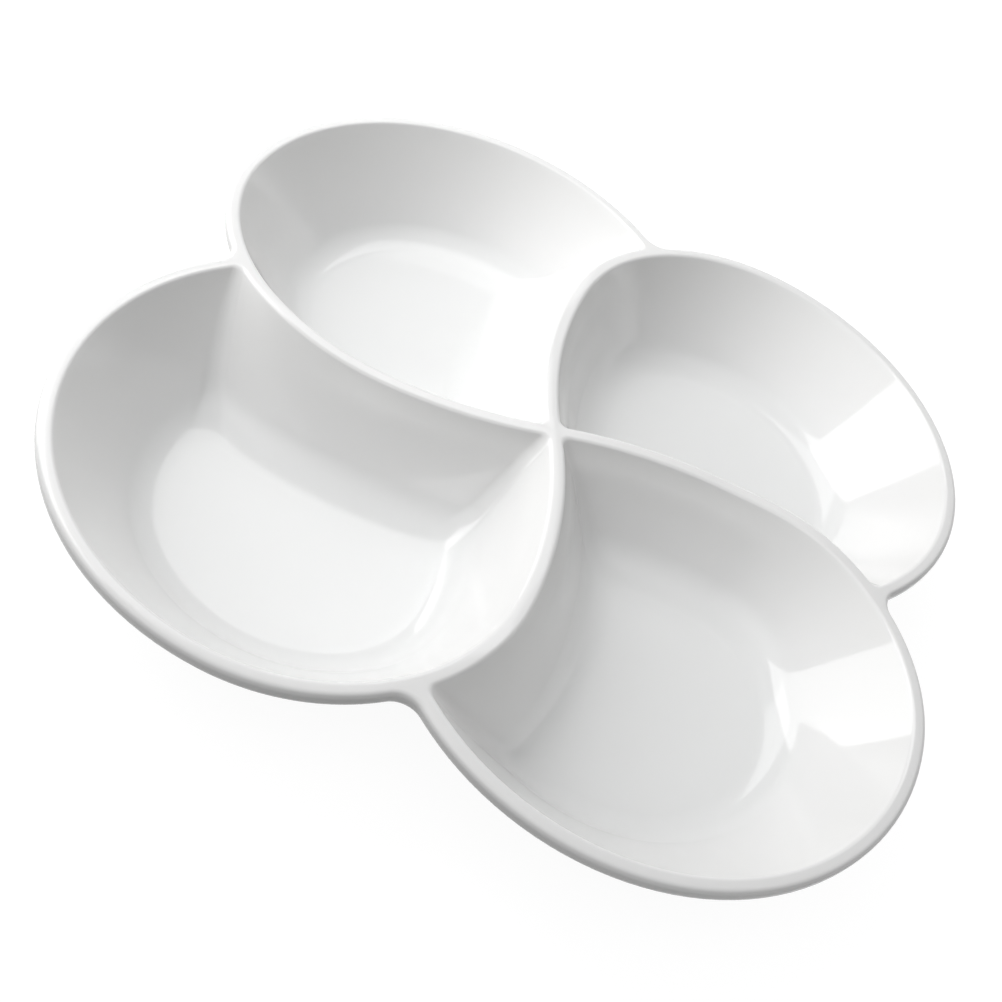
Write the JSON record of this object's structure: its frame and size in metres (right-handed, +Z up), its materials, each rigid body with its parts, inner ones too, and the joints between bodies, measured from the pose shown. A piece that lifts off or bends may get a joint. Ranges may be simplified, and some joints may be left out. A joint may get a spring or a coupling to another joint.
{
  "type": "divided serving bowl",
  "caption": "Glazed porcelain serving dish: a pinwheel of leaf-shaped compartments whose rims run on as the curved dividers between them, standing on bare foot rings.",
  "frame": {"origin": "on the table, under the crossing of the dividers, which is the centre of the outline", "axes": "+Z up out of the compartments, +Y towards bowl_back, -X towards bowl_left"},
  "size_m": [0.2918, 0.2918, 0.04],
  "materials": {
    "glaze": "white porcelain under a clear high-gloss glaze",
    "bare_foot": "bare fired porcelain, ground flat, matte"
  },
  "bodies": {
    "root": {"bowl_back": "glaze", "bowl_left": "glaze", "bowl_front": "glaze", "bowl_right": "glaze", "foot_ring_back": "bare_foot", "foot_ring_left": "bare_foot", "foot_ring_front": "bare_foot", "foot_ring_right": "bare_foot"}
  },
  "joints": []
}
